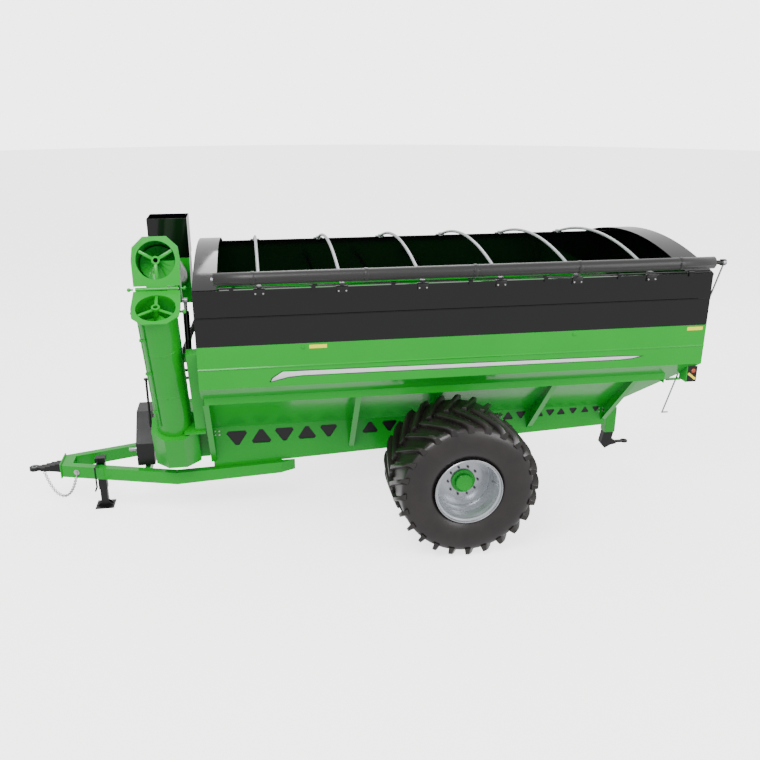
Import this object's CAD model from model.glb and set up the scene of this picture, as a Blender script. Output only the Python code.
import math

import bmesh
import bpy
from mathutils import Matrix, Vector


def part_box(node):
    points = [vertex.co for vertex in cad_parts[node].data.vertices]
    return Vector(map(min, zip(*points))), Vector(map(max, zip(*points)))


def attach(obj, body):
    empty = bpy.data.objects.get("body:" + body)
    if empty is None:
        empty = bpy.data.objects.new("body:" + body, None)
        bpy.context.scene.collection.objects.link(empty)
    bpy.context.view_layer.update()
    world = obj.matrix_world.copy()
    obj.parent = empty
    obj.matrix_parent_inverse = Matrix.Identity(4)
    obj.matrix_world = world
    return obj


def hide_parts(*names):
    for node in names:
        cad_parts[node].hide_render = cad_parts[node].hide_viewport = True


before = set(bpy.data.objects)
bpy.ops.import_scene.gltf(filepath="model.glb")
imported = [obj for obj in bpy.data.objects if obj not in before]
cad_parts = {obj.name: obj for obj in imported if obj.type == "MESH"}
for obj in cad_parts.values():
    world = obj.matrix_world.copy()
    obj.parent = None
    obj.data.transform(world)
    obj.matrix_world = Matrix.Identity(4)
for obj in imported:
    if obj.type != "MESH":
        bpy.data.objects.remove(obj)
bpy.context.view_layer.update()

bl_info = {
    "name": "Grain cart looks",
    "version": (1, 0, 0),
    "blender": (4, 5, 0),
    "location": "3D View > Sidebar > Grain cart",
    "description": "Builds the finishes and fine detail of a grain cart around its packed frame",
    "category": "Object",
}

# The CAD model's box, kept from before any piece is added
# Places and sizes in metres: the axle's X and height, the tyre's outer wall, its width, and the tank's side
SHIFT_X = 1.2475
AXLE_Z = 1.015
TYRE_OUT = 2.588
TYRE_W = 1.25
PANEL_Y = 1.834


# ---- Small helpers ----
def linear(code):
    """Turns an sRGB hex value into a linear colour with alpha."""
    parts = [int(code[i : i + 2], 16) / 255 for i in (1, 3, 5)]
    return tuple(c / 12.92 if c <= 0.04045 else ((c + 0.055) / 1.055) ** 2.4 for c in parts) + (1.0,)


def add_node(tree, kind, inputs=None, **settings):
    """Adds a node, sets its properties, and sets or links its input sockets."""
    made = tree.nodes.new(kind)
    for name, value in settings.items():
        setattr(made, name, value)
    for name, value in (inputs or {}).items():
        if isinstance(value, bpy.types.NodeSocket):
            tree.links.new(value, made.inputs[name])
        else:
            made.inputs[name].default_value = value
    return made


def mesh_piece(name, bm, material, body, smooth=True, angle=35):
    """Turns a bmesh into a piece that rides on a body of the frame."""
    mesh = bpy.data.meshes.new(name)
    bm.to_mesh(mesh)
    bm.free()
    mesh.materials.append(material)
    for face in mesh.polygons:
        face.use_smooth = smooth
    if smooth:
        mesh.set_sharp_from_angle(angle=math.radians(angle))
    piece = bpy.data.objects.new(name, mesh)
    bpy.context.scene.collection.objects.link(piece)
    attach(piece, body)
    return piece


def box_in(bm, low, high, bevel=0.0):
    """Adds a box between two corners, with its edges rounded by bevel."""
    size = [h - l for l, h in zip(low, high)]
    centre = [(h + l) / 2 for l, h in zip(low, high)]
    made = bmesh.ops.create_cube(bm, size=1.0)
    verts = made["verts"]
    bmesh.ops.scale(bm, vec=size, verts=verts)
    bmesh.ops.translate(bm, vec=centre, verts=verts)
    if bevel:
        edges = list({e for v in verts for e in v.link_edges})
        bmesh.ops.bevel(bm, geom=edges, offset=bevel, offset_type="OFFSET", segments=2, profile=0.5,
                        affect="EDGES", clamp_overlap=True, material=-1)
    return verts


def rod_in(bm, start, end, radius, segments=24, radius_end=None, bevel=0.0):
    """Adds a round bar between two points."""
    start, end = Vector(start), Vector(end)
    line = end - start
    made = bmesh.ops.create_cone(bm, cap_ends=True, segments=segments, radius1=radius,
                                 radius2=radius if radius_end is None else radius_end, depth=line.length)
    place = Matrix.Translation((start + end) / 2) @ line.to_track_quat("Z", "Y").to_matrix().to_4x4()
    bmesh.ops.transform(bm, matrix=place, verts=made["verts"])
    if bevel:
        rims = [e for e in {e for v in made["verts"] for e in v.link_edges}
                if any(len(f.verts) > 4 for f in e.link_faces)]
        bmesh.ops.bevel(bm, geom=rims, offset=bevel, offset_type="OFFSET", segments=2, profile=0.5,
                        affect="EDGES", clamp_overlap=True, material=-1)
    return made["verts"]


def bolt_in(bm, base, direction, across, height):
    """Adds a hexagon bolt head with a washer, standing on base."""
    base, direction = Vector(base), Vector(direction).normalized()
    rod_in(bm, base, base + direction * height * 0.25, across * 0.68, 20)
    rod_in(bm, base + direction * height * 0.24, base + direction * height, across * 0.55, 6)


def join_in(bm, fresh, place):
    """Adds a bmesh to another, moved by place, and frees it."""
    bmesh.ops.transform(fresh, matrix=place, verts=fresh.verts)
    mesh = bpy.data.meshes.new("join")
    fresh.to_mesh(mesh)
    fresh.free()
    bm.from_mesh(mesh)
    bpy.data.meshes.remove(mesh)


def turned(bm, outline, steps=96):
    """Spins an outline of (radius, depth) points a full turn about Z."""
    verts = [bm.verts.new((r, 0, d)) for r, d in outline]
    edges = [bm.edges.new((a, b)) for a, b in zip(verts, verts[1:] + verts[:1])]
    bmesh.ops.spin(bm, geom=verts + edges, cent=(0, 0, 0), axis=(0, 0, 1), angle=2 * math.pi,
                   steps=steps, use_merge=True, use_duplicate=False)
    bmesh.ops.remove_doubles(bm, verts=bm.verts, dist=1e-5)
    bmesh.ops.recalc_face_normals(bm, faces=bm.faces)


def onto_wheel(bm, side):
    """Turns a shape made about Z, with depth measured inwards from the tyre's outer wall, onto a wheel."""
    turn = Matrix.Rotation(math.radians(-90 * side), 4, "X")
    place = Matrix.Translation((SHIFT_X, side * TYRE_OUT, AXLE_Z))
    bmesh.ops.transform(bm, matrix=place @ turn @ Matrix.Diagonal((1, 1, -1, 1)), verts=bm.verts)
    bmesh.ops.recalc_face_normals(bm, faces=bm.faces)


# ---- Finishes ----
def new_material(name):
    """Starts an empty node material."""
    material = bpy.data.materials.new(name)
    material.use_nodes = True
    material.node_tree.nodes.clear()
    return material, material.node_tree


def close_material(tree, shader):
    """Joins the shader to the material's output."""
    add_node(tree, "ShaderNodeOutputMaterial", {"Surface": shader.outputs[0]})


def enamel(name, code, shade, rough=(0.16, 0.26), peel=0.00012, coat=0.6, mirror=0.5, metallic=0.0):
    """Sprayed two-coat enamel on sheet steel: a clear wet gloss, a faint orange peel and slow changes of tone."""
    material, tree = new_material(name)
    place = add_node(tree, "ShaderNodeTexCoord").outputs["Object"]
    slow = add_node(tree, "ShaderNodeTexNoise", {"Vector": place, "Scale": 1.3, "Detail": 4.0, "Roughness": 0.55})
    tone = add_node(tree, "ShaderNodeMix", {"Factor": slow.outputs["Fac"], "A": linear(code), "B": linear(shade)},
                    data_type="RGBA")
    film = add_node(tree, "ShaderNodeTexNoise", {"Vector": place, "Scale": 9.0, "Detail": 6.0, "Roughness": 0.7})
    gloss = add_node(tree, "ShaderNodeMapRange", {"Value": film.outputs["Fac"], "From Min": 0.3, "From Max": 0.7,
                                                "To Min": rough[0], "To Max": rough[1]})
    grain = add_node(tree, "ShaderNodeTexNoise", {"Vector": place, "Scale": 130.0, "Detail": 2.0})
    bump = add_node(tree, "ShaderNodeBump", {"Height": grain.outputs["Fac"], "Distance": peel, "Strength": 0.5})
    shader = add_node(tree, "ShaderNodeBsdfPrincipled", {
        "Base Color": tone.outputs["Result"], "Roughness": gloss.outputs["Result"], "Normal": bump.outputs["Normal"],
        "Coat Weight": coat, "Coat Roughness": 0.06, "IOR": 1.5, "Specular IOR Level": mirror, "Metallic": metallic})
    close_material(tree, shader)
    return material


def rolled_steel(name, code, shade, rough=(0.28, 0.5), metallic=1.0):
    """Bare or plated steel: long drawn scratches and patchy brightness."""
    material, tree = new_material(name)
    place = add_node(tree, "ShaderNodeTexCoord").outputs["Object"]
    drawn = add_node(tree, "ShaderNodeMapping", {"Vector": place, "Scale": (6.0, 90.0, 90.0)})
    lines = add_node(tree, "ShaderNodeTexNoise", {"Vector": drawn.outputs["Vector"], "Scale": 2.0, "Detail": 5.0})
    patch = add_node(tree, "ShaderNodeTexNoise", {"Vector": place, "Scale": 7.0, "Detail": 5.0, "Roughness": 0.6})
    tone = add_node(tree, "ShaderNodeMix", {"Factor": patch.outputs["Fac"], "A": linear(code), "B": linear(shade)},
                    data_type="RGBA")
    gloss = add_node(tree, "ShaderNodeMapRange", {"Value": lines.outputs["Fac"], "From Min": 0.3, "From Max": 0.7,
                                                "To Min": rough[0], "To Max": rough[1]})
    bump = add_node(tree, "ShaderNodeBump", {"Height": lines.outputs["Fac"], "Distance": 0.0002, "Strength": 0.35})
    shader = add_node(tree, "ShaderNodeBsdfPrincipled", {
        "Base Color": tone.outputs["Result"], "Metallic": metallic, "Roughness": gloss.outputs["Result"],
        "Normal": bump.outputs["Normal"]})
    close_material(tree, shader)
    return material


def tyre_rubber():
    """Moulded tyre rubber: a warm near-black with a soft sheen and fine mould pebbling."""
    material, tree = new_material("moulded tyre rubber")
    place = add_node(tree, "ShaderNodeTexCoord").outputs["Object"]
    slow = add_node(tree, "ShaderNodeTexNoise", {"Vector": place, "Scale": 3.0, "Detail": 6.0, "Roughness": 0.65})
    ramp = add_node(tree, "ShaderNodeValToRGB", {"Fac": slow.outputs["Fac"]})
    ramp.color_ramp.elements[0].position = 0.35
    ramp.color_ramp.elements[0].color = linear("#141010")
    ramp.color_ramp.elements[1].position = 0.72
    ramp.color_ramp.elements[1].color = linear("#201a19")
    pebble = add_node(tree, "ShaderNodeTexNoise", {"Vector": place, "Scale": 220.0, "Detail": 3.0})
    gloss = add_node(tree, "ShaderNodeMapRange", {"Value": slow.outputs["Fac"], "From Min": 0.3, "From Max": 0.7,
                                                "To Min": 0.27, "To Max": 0.38})
    bump = add_node(tree, "ShaderNodeBump", {"Height": pebble.outputs["Fac"], "Distance": 0.0004, "Strength": 0.5})
    shader = add_node(tree, "ShaderNodeBsdfPrincipled", {
        "Base Color": ramp.outputs["Color"], "Roughness": gloss.outputs["Result"], "Normal": bump.outputs["Normal"],
        "IOR": 1.52, "Specular IOR Level": 0.5})
    close_material(tree, shader)
    return material


def coated_canvas():
    """Vinyl-coated polyester tarpaulin: a dull black skin over a square weave, creased along the roll."""
    material, tree = new_material("vinyl coated tarpaulin")
    place = add_node(tree, "ShaderNodeTexCoord").outputs["Object"]
    threads = {"Vector": place, "Scale": 32.0, "Distortion": 0.4}
    warp = add_node(tree, "ShaderNodeTexWave", threads, bands_direction="X")
    weft = add_node(tree, "ShaderNodeTexWave", threads, bands_direction="Z")
    weave = add_node(tree, "ShaderNodeMath", {0: warp.outputs["Fac"], 1: weft.outputs["Fac"]}, operation="MULTIPLY")
    long = add_node(tree, "ShaderNodeMapping", {"Vector": place, "Scale": (1.2, 26.0, 26.0)})
    crease = add_node(tree, "ShaderNodeTexNoise", {"Vector": long.outputs["Vector"], "Scale": 1.0, "Detail": 5.0})
    tone = add_node(tree, "ShaderNodeMix", {
        "Factor": crease.outputs["Fac"], "A": linear("#0b0a0a"), "B": linear("#1b1919")}, data_type="RGBA")
    fine = add_node(tree, "ShaderNodeBump", {"Height": weave.outputs[0], "Distance": 0.0006, "Strength": 0.4})
    bump = add_node(tree, "ShaderNodeBump", {"Height": crease.outputs["Fac"], "Distance": 0.006, "Strength": 0.6,
                                           "Normal": fine.outputs["Normal"]})
    shader = add_node(tree, "ShaderNodeBsdfPrincipled", {
        "Base Color": tone.outputs["Result"], "Roughness": 0.42, "Normal": bump.outputs["Normal"],
        "Sheen Weight": 0.2})
    close_material(tree, shader)
    return material


def prismatic_film(name, code, shade, pitch=160.0):
    """Prismatic reflective film: a bright flat colour over a honeycomb of tiny cells."""
    material, tree = new_material(name)
    place = add_node(tree, "ShaderNodeTexCoord").outputs["Object"]
    cells = add_node(tree, "ShaderNodeTexVoronoi", {"Vector": place, "Scale": pitch}, feature="DISTANCE_TO_EDGE")
    edge = add_node(tree, "ShaderNodeMapRange", {"Value": cells.outputs["Distance"], "From Min": 0.02, "From Max": 0.12,
                                               "To Min": 1.0, "To Max": 0.0})
    tone = add_node(tree, "ShaderNodeMix", {"Factor": edge.outputs["Result"], "A": linear(code), "B": linear(shade)},
                    data_type="RGBA")
    bump = add_node(tree, "ShaderNodeBump", {"Height": cells.outputs["Distance"], "Distance": 0.0005, "Strength": 0.4})
    shader = add_node(tree, "ShaderNodeBsdfPrincipled", {
        "Base Color": tone.outputs["Result"], "Roughness": 0.24, "Normal": bump.outputs["Normal"],
        "Coat Weight": 0.8, "Coat Roughness": 0.05})
    close_material(tree, shader)
    return material


def printed_vinyl(name, code, shade, low_z, high_z):
    """Printed cast vinyl decal: a silver that darkens towards its lower edge."""
    material, tree = new_material(name)
    place = add_node(tree, "ShaderNodeTexCoord").outputs["Object"]
    height = add_node(tree, "ShaderNodeSeparateXYZ", {"Vector": place})
    fade = add_node(tree, "ShaderNodeMapRange", {"Value": height.outputs["Z"], "From Min": low_z, "From Max": high_z})
    speck = add_node(tree, "ShaderNodeTexNoise", {"Vector": place, "Scale": 400.0, "Detail": 2.0})
    mixed = add_node(tree, "ShaderNodeMath", {0: fade.outputs["Result"], 1: speck.outputs["Fac"], 2: 0.0},
                     operation="MULTIPLY_ADD")
    spread = add_node(tree, "ShaderNodeMath", {0: mixed.outputs[0], 1: 1.9}, operation="MULTIPLY", use_clamp=True)
    tone = add_node(tree, "ShaderNodeMix", {"Factor": spread.outputs[0], "A": linear(shade), "B": linear(code)},
                    data_type="RGBA")
    shader = add_node(tree, "ShaderNodeBsdfPrincipled", {
        "Base Color": tone.outputs["Result"], "Metallic": 0.35, "Roughness": 0.3, "Coat Weight": 0.5})
    close_material(tree, shader)
    return material


def amber_lens():
    """Moulded acrylic lamp lens: deep amber, ribbed on the inside."""
    material, tree = new_material("ribbed amber acrylic")
    place = add_node(tree, "ShaderNodeTexCoord").outputs["Object"]
    ribs = add_node(tree, "ShaderNodeTexWave", {"Vector": place, "Scale": 24.0}, bands_direction="Y")
    tone = add_node(tree, "ShaderNodeMix", {
        "Factor": ribs.outputs["Fac"], "A": linear("#a83200"), "B": linear("#ee6400")}, data_type="RGBA")
    bump = add_node(tree, "ShaderNodeBump", {"Height": ribs.outputs["Fac"], "Distance": 0.002, "Strength": 0.6})
    shader = add_node(tree, "ShaderNodeBsdfPrincipled", {
        "Base Color": tone.outputs["Result"], "Roughness": 0.12, "IOR": 1.49, "Normal": bump.outputs["Normal"],
        "Coat Weight": 0.6})
    close_material(tree, shader)
    return material


def studio_card(glow):
    """Matt white studio board, evenly lit."""
    material, tree = new_material("studio board")
    place = add_node(tree, "ShaderNodeTexCoord").outputs["Object"]
    fibre = add_node(tree, "ShaderNodeTexNoise", {"Vector": place, "Scale": 0.4, "Detail": 2.0})
    tone = add_node(tree, "ShaderNodeMix", {
        "Factor": fibre.outputs["Fac"], "A": linear("#fbfbfa"), "B": linear("#f6f6f5")}, data_type="RGBA")
    shader = add_node(tree, "ShaderNodeBsdfPrincipled", {
        "Base Color": tone.outputs["Result"], "Roughness": 0.9, "Emission Color": (1.0, 1.0, 1.0, 1.0),
        "Emission Strength": glow})
    close_material(tree, shader)
    return material


FINISHES = {}


def finish(name):
    """Makes each finish once, when it is first wanted."""
    looks = bpy.context.scene.cart_looks
    makers = {
        "green": lambda: enamel("sprayed green enamel", looks.green, looks.green_shade,
                                (0.14, 0.24), 0.00012, 0.1, 0.3),
        "hub_green": lambda: enamel("sprayed green cast iron", looks.green, looks.green_shade,
                                    (0.22, 0.36), 0.0005, 0.1, 0.3),
        "black": lambda: enamel("sprayed black enamel", looks.black, "#040405", (0.05, 0.10), 0.00005, 0.06, 0.38),
        "chassis_black": lambda: enamel("black chassis paint", "#0f0f10", "#080809", (0.3, 0.45), 0.0003, 0.1, 0.35),
        "bow_grey": lambda: enamel("powder coated bow grey", "#9ea1a5", "#8b8e92", (0.25, 0.4), 0.0002, 0.2),
        "wheel_silver": lambda: enamel("wheel silver", "#b9bcc1", "#9fa3a9", (0.24, 0.36), 0.0002, 0.3, 0.5, 0.75),
        "steel": lambda: rolled_steel("bare drawn steel", "#b9bcbf", "#8d9093"),
        "worn_steel": lambda: rolled_steel("grain polished steel", "#cfd0d1", "#8a8883", (0.18, 0.45)),
        "zinc": lambda: rolled_steel("zinc plated steel", "#d6d6d2", "#a9aaa8", (0.25, 0.4)),
        "dark_steel": lambda: rolled_steel("phosphated steel", "#77797c", "#4c4e51", (0.3, 0.45)),
        "rubber": tyre_rubber,
        "canvas": coated_canvas,
        "yellow": lambda: prismatic_film("yellow prismatic film", "#fff000", "#d8c000"),
        "silver": lambda: printed_vinyl("silver printed vinyl", "#e9eaec", "#8b8e92", 2.47, 2.60),
        "amber": amber_lens,
    }
    if name not in FINISHES:
        FINISHES[name] = makers[name]()
    return FINISHES[name]


# ---- Wheels ----
def tyre_outline():
    """Carcass section as (radius, depth): beads, bulged walls, shoulders and a slightly crowned tread floor."""
    wall = [(0.436, 0.094), (0.468, 0.088), (0.486, 0.078), (0.500, 0.066), (0.525, 0.050), (0.560, 0.032),
            (0.600, 0.017), (0.645, 0.006), (0.700, 0.000), (0.755, 0.002), (0.805, 0.010), (0.850, 0.024),
            (0.888, 0.043), (0.914, 0.064), (0.928, 0.086), (0.934, 0.110), (0.938, 0.160), (0.944, 0.300),
            (0.950, 0.480), (0.952, TYRE_W / 2)]
    back = [(r, TYRE_W - d) for r, d in reversed(wall[:-1])]
    inner = [(0.436, 1.06), (0.60, 1.16), (0.84, 1.18), (0.90, 1.05), (0.90, 0.20), (0.84, 0.07), (0.60, 0.09),
             (0.436, 0.19)]
    return wall + back + inner


def lug_in(bm, half, turn):
    """Adds one tread bar: a tapered block swept from the shoulder to the middle of the tread, raked backwards."""
    fresh = bmesh.new()
    bmesh.ops.create_cube(fresh, size=1.0)
    along = [e for e in fresh.edges if abs(e.verts[0].co.x - e.verts[1].co.x) > 0.5]
    bmesh.ops.subdivide_edges(fresh, edges=along, cuts=9, use_grid_fill=True)
    for v in fresh.verts:
        u = v.co.x + 0.5
        depth = 0.022 + u * 0.600
        rake = 0.30 * u ** 0.85 + 0.05 * u * u
        crown = 1.0145 - 0.052 * max(0.0, 1 - depth / 0.13) ** 1.6
        top = v.co.z > 0
        radius = crown if top else 0.880
        width = (0.026 if top else 0.044) * (1.0 + 0.25 * u)
        angle = turn + rake + v.co.y * 2 * width / radius
        if half:
            depth = TYRE_W - depth
        v.co = (radius * math.cos(angle), radius * math.sin(angle), depth)
    join_in(bm, fresh, Matrix.Identity(4))


def tread(bm, count):
    """Two rows of tread bars, set half a pitch apart so that they make open chevrons."""
    for half in (0, 1):
        for i in range(count):
            lug_in(bm, half, 2 * math.pi * (i + 0.5 * half) / count)
    bmesh.ops.recalc_face_normals(bm, faces=bm.faces)
    rims = [e for e in bm.edges if len(e.link_faces) == 2 and e.calc_face_angle() > 0.8]
    bmesh.ops.bevel(bm, geom=rims, offset=0.006, offset_type="OFFSET", segments=2, profile=0.5, affect="EDGES",
                    clamp_overlap=True, material=-1)


def rim_outline():
    """Rim section: rolled flange, bead seat, drop centre steps, and the dished disc that carries the hub."""
    return [(0.4790, 0.0460), (0.4780, 0.0340), (0.4730, 0.0290), (0.4660, 0.0300), (0.4600, 0.0400), (0.4560, 0.0600),
            (0.4460, 0.0700), (0.4340, 0.0740), (0.4300, 0.1050), (0.4210, 0.1180), (0.4160, 0.1400), (0.4120, 0.1600),
            (0.4110, 0.2300), (0.4080, 0.2380), (0.4080, 0.2500), (0.4110, 0.2580), (0.4110, 0.3700), (0.4050, 0.4000),
            (0.3920, 0.4180), (0.3600, 0.4200), (0.3000, 0.4090), (0.2600, 0.4050), (0.1100, 0.4050), (0.1100, 0.4210),
            (0.2600, 0.4210), (0.3000, 0.4250), (0.3600, 0.4360), (0.3980, 0.4380), (0.4110, 0.4700), (0.4110, 1.0800),
            (0.4210, 1.1300), (0.4300, 1.1450), (0.4340, 1.1760), (0.4560, 1.1900), (0.4660, 1.2200), (0.4780, 1.2160),
            (0.4790, 1.2040), (0.4770, 1.1990), (0.4330, 1.1800), (0.4330, 0.0700), (0.4770, 0.0510)]


class CART_OT_tyres(bpy.types.Operator):
    """Build both flotation tyres with their chevron tread."""

    bl_idname = "cart.tyres"
    bl_label = "Tyres"

    def execute(self, context):
        looks = context.scene.cart_looks
        for side, word in ((-1, "left"), (1, "right")):
            bm = bmesh.new()
            turned(bm, tyre_outline(), 128)
            onto_wheel(bm, side)
            carcass = mesh_piece(f"tyre_carcass_{word}", bm, finish("rubber"), f"wheel_{word}",
                                 angle=50)
            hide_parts(f"tyre_{word}")
            bm = bmesh.new()
            tread(bm, looks.tread_bars)
            onto_wheel(bm, side)
            bars = mesh_piece(f"tyre_tread_{word}", bm, finish("rubber"), f"wheel_{word}", angle=30)
            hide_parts(f"tyre_{word}")
        return {"FINISHED"}


class CART_OT_rims(bpy.types.Operator):
    """Build both dished rims and their tyre valves."""

    bl_idname = "cart.rims"
    bl_label = "Rims"

    def execute(self, context):
        for side, word in ((-1, "left"), (1, "right")):
            bm = bmesh.new()
            turned(bm, rim_outline(), 128)
            onto_wheel(bm, side)
            rim = mesh_piece(f"rim_dish_{word}", bm, finish("wheel_silver"), f"wheel_{word}", angle=40)
            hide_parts(f"rim_{word}")
            bm = bmesh.new()
            rod_in(bm, (0.398, 0, 0.31), (0.385, 0, 0.25), 0.011, 16, bevel=0.002)
            rod_in(bm, (0.386, 0, 0.256), (0.378, 0, 0.222), 0.006, 12, bevel=0.001)
            onto_wheel(bm, side)
            mesh_piece(f"tyre_valve_{word}", bm, finish("steel"), f"wheel_{word}")
        return {"FINISHED"}


# ---- Tank trim ----
def flat_shape(bm, outline, y, thick):
    """Adds a thin plate of an (x, z) outline that faces -Y at y."""
    face = bm.faces.new([bm.verts.new((x + SHIFT_X, y, z)) for x, z in outline])
    made = bmesh.ops.extrude_face_region(bm, geom=[face])
    bmesh.ops.translate(bm, vec=(0, thick, 0), verts=[g for g in made["geom"] if isinstance(g, bmesh.types.BMVert)])
    bmesh.ops.recalc_face_normals(bm, faces=bm.faces)


STRIPE = [(-2.60, 2.512), (-2.575, 2.556), (-2.44, 2.642), (-2.30, 2.641), (2.35, 2.612), (2.64, 2.602), (2.52, 2.578),
          (2.34, 2.566), (-2.16, 2.580), (-2.36, 2.568)]
STRIPE_EDGE = [(-2.622, 2.500), (-2.588, 2.562), (-2.446, 2.652), (-2.30, 2.651), (2.35, 2.622), (2.70, 2.604),
               (2.54, 2.570), (2.34, 2.556), (-2.15, 2.570), (-2.36, 2.556)]


def mirrored(bm):
    """Adds the mirror image of everything to the other side."""
    made = bmesh.ops.duplicate(bm, geom=bm.verts[:] + bm.edges[:] + bm.faces[:])
    verts = [g for g in made["geom"] if isinstance(g, bmesh.types.BMVert)]
    faces = [g for g in made["geom"] if isinstance(g, bmesh.types.BMFace)]
    bmesh.ops.scale(bm, vec=(1, -1, 1), verts=verts)
    bmesh.ops.reverse_faces(bm, faces=faces)


class CART_OT_decals(bpy.types.Operator):
    """Lay the plain side stripes and the yellow reflective strips."""

    bl_idname = "cart.decals"
    bl_label = "Stripes and reflectors"

    def execute(self, context):
        bm = bmesh.new()
        flat_shape(bm, STRIPE_EDGE, -PANEL_Y - 0.0012, 0.0011)
        mirrored(bm)
        mesh_piece("stripe_edge", bm, finish("chassis_black"), "chassis", smooth=False)
        bm = bmesh.new()
        flat_shape(bm, STRIPE, -PANEL_Y - 0.0020, 0.0018)
        mirrored(bm)
        mesh_piece("stripe_silver", bm, finish("silver"), "chassis", smooth=False)
        bm = bmesh.new()
        for x in (-2.075, 3.315):
            box_in(bm, (x + SHIFT_X, -PANEL_Y - 0.003, 2.950), (x + 0.235 + SHIFT_X, -PANEL_Y - 0.0002, 3.000), 0.0008)
        mirrored(bm)
        for y in (-1.5, 1.28):
            box_in(bm, (3.6042 + SHIFT_X, y, 2.950), (3.607 + SHIFT_X, y + 0.235, 3.000), 0.0008)
        mesh_piece("yellow_strips", bm, finish("yellow"), "chassis", smooth=False)
        bm = bmesh.new()
        for x in (-2.16, 1.62):
            rod_in(bm, (x + SHIFT_X, -PANEL_Y - 0.008, 2.975), (x + SHIFT_X, -PANEL_Y + 0.004, 2.975), 0.026, 24,
                   bevel=0.003)
            rod_in(bm, (x + SHIFT_X, -PANEL_Y - 0.013, 2.975), (x + SHIFT_X, -PANEL_Y - 0.006, 2.975), 0.014, 6)
        mirrored(bm)
        mesh_piece("grain_height_plugs", bm, finish("green"), "chassis")
        return {"FINISHED"}


BOW_X = [-2.697 + 1.075 * k for k in range(6)]


class CART_OT_rim_fittings(bpy.types.Operator):
    """Bolt the bow feet, latch hooks and corner plates along the rim."""

    bl_idname = "cart.rim_fittings"
    bl_label = "Rim fittings"

    def execute(self, context):
        bm = bmesh.new()
        for x in BOW_X:
            c = x + SHIFT_X
            box_in(bm, (c - 0.075, -1.852, 3.690), (c + 0.075, -1.8424, 3.792), 0.003)
            box_in(bm, (c - 0.075, -1.852, 3.776), (c + 0.075, -1.790, 3.784), 0.002)
        mirrored(bm)
        mesh_piece("bow_foot_plates", bm, finish("chassis_black"), "chassis")
        bm = bmesh.new()
        for x in BOW_X:
            for dx in (-0.05, 0.05):
                bolt_in(bm, (x + dx + SHIFT_X, -1.852, 3.722), (0, -1, 0), 0.016, 0.012)
        mirrored(bm)
        mesh_piece("bow_foot_bolts", bm, finish("zinc"), "chassis")
        bm = bmesh.new()
        for k in range(7):
            x = -3.05 + k * 1.05 + SHIFT_X
            rod_in(bm, (x - 0.05, -1.858, 3.812), (x + 0.05, -1.858, 3.812), 0.017, 16, bevel=0.002)
            box_in(bm, (x - 0.028, -1.864, 3.74), (x + 0.028, -1.8425, 3.812), 0.003)
        rod_in(bm, (-3.22 + SHIFT_X, -1.858, 3.812), (3.52 + SHIFT_X, -1.858, 3.812), 0.012, 16, bevel=0.002)
        mesh_piece("latch_rail", bm, finish("black"), "chassis")
        return {"FINISHED"}


# ---- Tarp ----
def roll_path(centre_y, centre_z, inner, outer, pitch, steps):
    """Points of a spiral, from the tube outwards, that ends hanging at the outer side."""
    turns = (outer - inner) / pitch
    count = int(turns * steps)
    points = []
    for i in range(count + 1):
        t = i / count
        radius = inner + (outer - inner) * t
        angle = 2 * math.pi * turns * t + 0.9
        wobble = 1 + 0.012 * math.sin(3 * angle + 0.7)
        points.append((centre_y + radius * wobble * math.cos(angle), centre_z + radius * wobble * math.sin(angle)))
    return points


class CART_OT_tarp(bpy.types.Operator):
    """Roll the tarp on its tube and tie it."""

    bl_idname = "cart.tarp"
    bl_label = "Rolled tarp"

    def execute(self, context):
        low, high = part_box("tarp_bundle")
        centre_y, centre_z = (low[1] + high[1]) / 2, (low[2] + high[2]) / 2
        outer = (high[2] - low[2]) / 2 - 0.003
        path = roll_path(centre_y, centre_z, 0.0275, outer, 0.0052, 40)
        bm = bmesh.new()
        verts = [bm.verts.new((low[0], y, z)) for y, z in path]
        edges = [bm.edges.new(pair) for pair in zip(verts, verts[1:])]
        for _ in range(12):
            made = bmesh.ops.extrude_edge_only(bm, edges=edges)
            verts = [g for g in made["geom"] if isinstance(g, bmesh.types.BMVert)]
            ends = set(verts)
            edges = [g for g in made["geom"] if isinstance(g, bmesh.types.BMEdge) and all(v in ends for v in g.verts)]
            bmesh.ops.translate(bm, vec=((high[0] - low[0]) / 12, 0, 0), verts=verts)
        roll = mesh_piece("tarp_roll", bm, finish("canvas"), "tarp", angle=60)
        wall = roll.modifiers.new("cloth thickness", "SOLIDIFY")
        wall.thickness = 0.0012
        wall.offset = 0.0
        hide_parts("tarp_bundle")
        bm = bmesh.new()
        for k in range(5):
            x = low[0] + 0.5 + k * (high[0] - low[0] - 1.0) / 4
            rod_in(bm, (x - 0.022, centre_y, centre_z), (x + 0.022, centre_y, centre_z), outer + 0.004, 48,
                   bevel=0.0015)
            box_in(bm, (x - 0.030, centre_y - outer - 0.014, centre_z - 0.03),
                   (x + 0.030, centre_y - outer - 0.002, centre_z + 0.03), 0.002)
        straps = mesh_piece("tarp_straps", bm, finish("canvas"), "tarp")
        bm = bmesh.new()
        x = SHIFT_X + 3.76
        rod_in(bm, (x - 0.150, centre_y, centre_z), (x - 0.036, centre_y, centre_z), 0.030, 24, bevel=0.004)
        for s in (-1, 1):
            box_in(bm, (x - 0.062, centre_y - 0.022, centre_z + s * 0.036 - 0.006),
                   (x + 0.018, centre_y + 0.022, centre_z + s * 0.036 + 0.006), 0.003)
        mesh_piece("tarp_tube_yoke", bm, finish("chassis_black"), "tarp")
        return {"FINISHED"}


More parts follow.
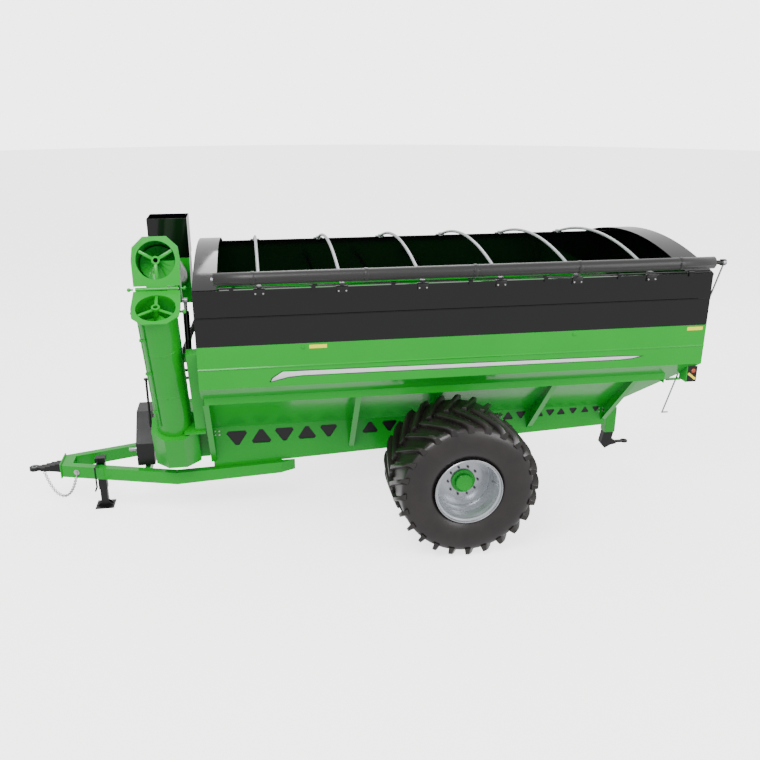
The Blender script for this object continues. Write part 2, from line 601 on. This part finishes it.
# ---- Auger ----
AUGER = Matrix.Translation((SHIFT_X - 4.0, -1.9, 3.6)) @ Matrix.Rotation(math.radians(26), 4, "X")
FOLDED = (AUGER @ Matrix.Translation((0, 0.375, 0)) @ Matrix.Rotation(math.radians(-134), 4, "X")
          @ Matrix.Translation((0, -0.375, 0)))
FLANGE_BOLTS = [(-0.287, 0.20), (0.287, 0.20), (-0.280, 0.02), (0.280, 0.02), (-0.258, -0.14), (0.258, -0.14),
                (-0.120, -0.278), (0.120, -0.278), (0.0, -0.281)]


def flange_bolts(bm, place, face, side):
    """Adds the bolts of one auger flange; side is +1 where the heads stand above the flange."""
    fresh = bmesh.new()
    for x, y in FLANGE_BOLTS:
        bolt_in(fresh, (x, y, face), (0, 0, side), 0.017, 0.013)
    join_in(bm, fresh, place)


def ring_in(bm, inner, outer, low, high, bevel=0.002):
    """Adds a flat ring about Z."""
    fresh = bmesh.new()
    turned(fresh, [(inner, low), (outer - bevel, low), (outer, low + bevel), (outer, high - bevel),
                   (outer - bevel, high), (inner, high)], 72)
    join_in(bm, fresh, Matrix.Identity(4))


def hanger_in(bm, hub_low, hub_high, arm_low, arm_high):
    """Adds a screw hanger across an auger mouth: a bored boss on three flat arms."""
    ring_in(bm, 0.030, 0.056, hub_low, hub_high, 0.003)
    for k in range(3):
        fresh = bmesh.new()
        box_in(fresh, (0.050, -0.020, arm_low), (0.2435, 0.020, arm_high), 0.002)
        join_in(bm, fresh, Matrix.Rotation(math.radians(90 + 120 * k), 4, "Z"))


class CART_OT_auger(bpy.types.Operator):
    """Add the flange bolts, seam bands, screw hangers, hinge knobs and oil pipes of the folding auger."""

    bl_idname = "cart.auger"
    bl_label = "Auger fittings"

    def execute(self, context):
        bm = bmesh.new()
        flange_bolts(bm, AUGER, -0.0165, -1)
        mesh_piece("lower_flange_bolts", bm, finish("zinc"), "chassis")
        bm = bmesh.new()
        flange_bolts(bm, FOLDED, 0.0195, 1)
        mesh_piece("upper_flange_bolts", bm, finish("zinc"), "upper_auger")

        bm = bmesh.new()
        fresh = bmesh.new()
        for z in (-0.62, -1.42):
            ring_in(fresh, 0.2445, 0.2585, z - 0.022, z + 0.022, 0.003)
        ring_in(fresh, 0.2490, 0.2560, -0.060, -0.0165, 0.002)
        join_in(bm, fresh, AUGER)
        mesh_piece("lower_tube_bands", bm, finish("green"), "chassis")
        bm = bmesh.new()
        fresh = bmesh.new()
        for z in (0.70, 1.50):
            ring_in(fresh, 0.2445, 0.2585, z - 0.022, z + 0.022, 0.003)
        ring_in(fresh, 0.2490, 0.2560, 0.0195, 0.062, 0.002)
        join_in(bm, fresh, FOLDED)
        mesh_piece("upper_tube_bands", bm, finish("green"), "upper_auger")

        bm = bmesh.new()
        fresh = bmesh.new()
        hanger_in(fresh, -0.026, 0.018, -0.024, -0.006)
        for z in (-0.05, -0.62, -1.42):
            rod_in(fresh, (0, -0.262, z), (0, -0.250, z), 0.013, 6)
        box_in(fresh, (-0.004, -0.2525, -2.10), (0.004, -0.2490, -0.06), 0.001)
        join_in(bm, fresh, AUGER)
        mesh_piece("lower_hanger", bm, finish("green"), "chassis")
        bm = bmesh.new()
        fresh = bmesh.new()
        hanger_in(fresh, 0.022, 0.037, 0.024, 0.036)
        join_in(bm, fresh, FOLDED)
        mesh_piece("upper_hanger", bm, finish("green"), "upper_auger")

        bm = bmesh.new()
        fresh = bmesh.new()
        for side in (-1, 1):
            rod_in(fresh, (side * 0.300, 0.375, 0), (side * 0.345, 0.375, 0), 0.012, 20, bevel=0.002)
            bmesh.ops.create_uvsphere(fresh, u_segments=24, v_segments=16, radius=0.026,
                                      matrix=Matrix.Translation((side * 0.352, 0.375, 0)))
        join_in(bm, fresh, AUGER)
        mesh_piece("hinge_knobs", bm, finish("green"), "chassis")

        bm = bmesh.new()
        fresh = bmesh.new()
        for x in (-0.045, 0.0):
            rod_in(fresh, (x - 0.165, -0.215, -2.02), (x - 0.165, -0.215, -0.10), 0.008, 16)
        for z in (-0.35, -0.95, -1.70):
            box_in(fresh, (-0.235, -0.228, z - 0.015), (-0.155, -0.196, z + 0.015), 0.003)
        join_in(bm, fresh, AUGER)
        mesh_piece("oil_pipes", bm, finish("green"), "chassis")
        return {"FINISHED"}


# ---- Frame fittings ----
class CART_OT_frame_fittings(bpy.types.Operator):
    """Bolt the ends of the frame webs and back their holes with dark sheets."""

    bl_idname = "cart.frame_fittings"
    bl_label = "Frame bolts"

    def execute(self, context):
        low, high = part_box("frame_left")
        bm = bmesh.new()
        for x in (low[0] + 0.05, low[0] + 0.11, high[0] - 0.05, high[0] - 0.11):
            for z in (high[2] - 0.06, high[2] - 0.12):
                bolt_in(bm, (x, low[1], z), (0, -1, 0), 0.020, 0.014)
        mirrored(bm)
        mesh_piece("frame_web_bolts", bm, finish("zinc"), "chassis")
        bm = bmesh.new()
        flat_shape(bm, [(-3.42, 1.012), (2.70, 1.266), (2.70, 1.388), (-3.42, 1.388)], -0.6295, 0.003)
        mirrored(bm)
        mesh_piece("web_backing_sheets", bm, finish("chassis_black"), "chassis", smooth=False)
        return {"FINISHED"}


# ---- Rear lamps ----
class CART_OT_lamps(bpy.types.Operator):
    """Add the side markers and the slanted yellow reflectors at the rear corners."""

    bl_idname = "cart.lamps"
    bl_label = "Lamps"

    def execute(self, context):
        low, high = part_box("lamp_housings")
        x, y, z = (low[0] + high[0]) / 2, high[1], (low[2] + high[2]) / 2
        bm = bmesh.new()
        fresh = bmesh.new()
        box_in(fresh, (-0.075, -0.0045, -0.017), (0.075, 0.0, 0.017), 0.001)
        join_in(bm, fresh, Matrix.Translation((x, -y, z - 0.035)) @ Matrix.Rotation(math.radians(38), 4, "Y"))
        mirrored(bm)
        mesh_piece("slanted_reflectors", bm, finish("yellow"), "chassis", smooth=False)
        bm = bmesh.new()
        rod_in(bm, (x + 0.015, -y, z + 0.050), (x + 0.015, -y - 0.016, z + 0.050), 0.034, 32, 0.026, bevel=0.003)
        mirrored(bm)
        mesh_piece("side_markers", bm, finish("amber"), "chassis")
        return {"FINISHED"}


# ---- Hitch and driveline ----
class CART_OT_driveline(bpy.types.Operator):
    """Lay the splines on the driveline stub."""

    bl_idname = "cart.driveline"
    bl_label = "Driveline"

    def execute(self, context):
        low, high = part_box("pto_shaft")
        x0, centre_z = low[0], (low[2] + high[2]) / 2
        bm = bmesh.new()
        for k in range(20):
            a = 2 * math.pi * k / 20
            y, z = 0.0305 * math.cos(a), centre_z + 0.0305 * math.sin(a)
            rod_in(bm, (x0 + 0.004, y, z), (x0 + 0.09, y, z), 0.0022, 8)
        mesh_piece("driveline_splines", bm, finish("steel"), "pto")
        return {"FINISHED"}


# ---- Paint ----
SLOT_FINISH = {
    "green_paint": "green", "black_paint": "black", "grey_paint": "bow_grey", "silver_paint": "wheel_silver",
    "bare_steel": "steel", "tyre_rubber": "rubber", "tarp_fabric": "canvas", "amber_plastic": "amber",
}
NODE_FINISH = {
    "hub_left": "hub_green", "hub_right": "hub_green", "gearbox": "hub_green", "safety_chain": "zinc",
    "hitch_tang": "chassis_black", "jack_tube": "chassis_black", "jack_leg": "chassis_black",
    "jack_crank": "chassis_black", "rear_clevis": "chassis_black", "lamp_housings": "chassis_black",
    "driveline_guard": "chassis_black", "ladder": "chassis_black", "hose_stand": "chassis_black",
    "floor_flighting": "worn_steel", "wheel_bolts_left": "dark_steel", "wheel_bolts_right": "dark_steel",
    "hinge_pin": "zinc", "tarp_bows": "bow_grey", "upper_flighting": "green", "lower_flighting": "green",
}


class CART_OT_paint(bpy.types.Operator):
    """Give every shown part of the frame its finish."""

    bl_idname = "cart.paint"
    bl_label = "Paint"

    def execute(self, context):
        for name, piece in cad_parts.items():
            for slot in piece.material_slots:
                base = slot.material.name.split(".")[0]
                key = NODE_FINISH.get(name) or SLOT_FINISH[base]
                slot.material = finish(key)
        return {"FINISHED"}


# ---- Stage ----
def stage_piece(name, bm, glow):
    """Adds a board of the studio, which shows but casts no light on the cart."""
    mesh = bpy.data.meshes.new(name)
    bm.to_mesh(mesh)
    bm.free()
    mesh.materials.append(studio_card(glow))
    board = bpy.data.objects.new(name, mesh)
    bpy.context.scene.collection.objects.link(board)
    board.location = (0, 0, -0.001)
    board.visible_diffuse = False
    board.visible_glossy = False
    board.visible_shadow = False


class CART_OT_stage(bpy.types.Operator):
    """Lay the floor, hang the lights and set the camera."""

    bl_idname = "cart.stage"
    bl_label = "Studio"

    def execute(self, context):
        looks = context.scene.cart_looks
        bm = bmesh.new()
        bmesh.ops.create_grid(bm, x_segments=1, y_segments=1, size=90.0)
        stage_piece("studio_floor", bm, looks.board_glow)
        bm = bmesh.new()
        bmesh.ops.create_uvsphere(bm, u_segments=64, v_segments=32, radius=85.0)
        bmesh.ops.reverse_faces(bm, faces=bm.faces)
        stage_piece("studio_backdrop", bm, looks.board_glow + 0.9)

        world = bpy.data.worlds.new("studio")
        context.scene.world = world
        world.use_nodes = True
        world.node_tree.nodes["Background"].inputs["Color"].default_value = (1, 1, 1, 1)
        world.node_tree.nodes["Background"].inputs["Strength"].default_value = looks.sky

        for name, place, aim, size, power in (
                ("key", (-5.5, -9.0, 13.0), (0, 0, 1.5), (9.0, 7.0), looks.key_power),
                ("fill", (9.0, -10.0, 7.0), (0, 0, 1.5), (7.0, 6.0), looks.key_power * 0.35),
                ("back", (2.0, 11.0, 11.0), (0, 0, 2.5), (10.0, 5.0), looks.key_power * 0.45)):
            light = bpy.data.lights.new(name, "AREA")
            light.shape = "RECTANGLE"
            light.size, light.size_y = size
            light.energy = power
            lamp = bpy.data.objects.new(name, light)
            context.scene.collection.objects.link(lamp)
            lamp.location = place
            lamp.rotation_euler = (Vector(aim) - Vector(place)).to_track_quat("-Z", "Y").to_euler()

        lens = bpy.data.cameras.new("camera")
        lens.lens = 38.70
        lens.sensor_width = 36.0
        lens.clip_end = 300.0
        camera = bpy.data.objects.new("camera", lens)
        context.scene.collection.objects.link(camera)
        camera.location = (-1.5316, -12.2206, 6.2248)
        camera.rotation_euler = (math.radians(70.258), 0, math.radians(-9.055))
        context.scene.camera = camera
        return {"FINISHED"}


# ---- Settings, panel and run ----
class CartLooks(bpy.types.PropertyGroup):
    """Sizes and colours that a user may change."""

    green: bpy.props.StringProperty(name="Green", description="Hex colour of the green enamel", default="#009c24")
    green_shade: bpy.props.StringProperty(name="Green in shade", description="Darker tone of the green enamel",
                                          default="#008f1f")
    black: bpy.props.StringProperty(name="Black", description="Hex colour of the black enamel", default="#070708")
    tread_bars: bpy.props.IntProperty(name="Tread bars", description="Number of tread bars in each row of a tyre",
                                      default=24, min=16, max=32)
    key_power: bpy.props.FloatProperty(name="Key light", description="Power of the main light", default=2000.0,
                                       min=0.0, unit="POWER")
    board_glow: bpy.props.FloatProperty(name="Board glow", description="Brightness of the studio boards", default=2.2,
                                        min=0.0)
    sky: bpy.props.FloatProperty(name="Sky", description="Brightness of the white surroundings", default=1.15,
                                 min=0.0, subtype="FACTOR")


OPERATORS = (CART_OT_tyres, CART_OT_rims, CART_OT_decals, CART_OT_rim_fittings, CART_OT_tarp, CART_OT_auger,
             CART_OT_frame_fittings, CART_OT_lamps, CART_OT_driveline, CART_OT_paint, CART_OT_stage)


class CART_PT_looks(bpy.types.Panel):
    """Lists the steps that build the cart's looks."""

    bl_label = "Grain cart"
    bl_idname = "CART_PT_looks"
    bl_space_type = "VIEW_3D"
    bl_region_type = "UI"
    bl_category = "Grain cart"

    def draw(self, context):
        looks = context.scene.cart_looks
        for name in ("green", "green_shade", "black", "tread_bars", "key_power", "board_glow", "sky"):
            self.layout.prop(looks, name)
        for kind in OPERATORS:
            self.layout.operator(kind.bl_idname)


def register():
    for kind in (CartLooks,) + OPERATORS + (CART_PT_looks,):
        bpy.utils.register_class(kind)
    bpy.types.Scene.cart_looks = bpy.props.PointerProperty(type=CartLooks)


def unregister():
    del bpy.types.Scene.cart_looks
    for kind in reversed((CartLooks,) + OPERATORS + (CART_PT_looks,)):
        bpy.utils.unregister_class(kind)


def main():
    register()
    bpy.ops.cart.tyres()
    bpy.ops.cart.rims()
    bpy.ops.cart.decals()
    bpy.ops.cart.rim_fittings()
    bpy.ops.cart.tarp()
    bpy.ops.cart.auger()
    bpy.ops.cart.frame_fittings()
    bpy.ops.cart.lamps()
    bpy.ops.cart.driveline()
    bpy.ops.cart.paint()
    bpy.ops.cart.stage()


if __name__ == "__main__":
    main()
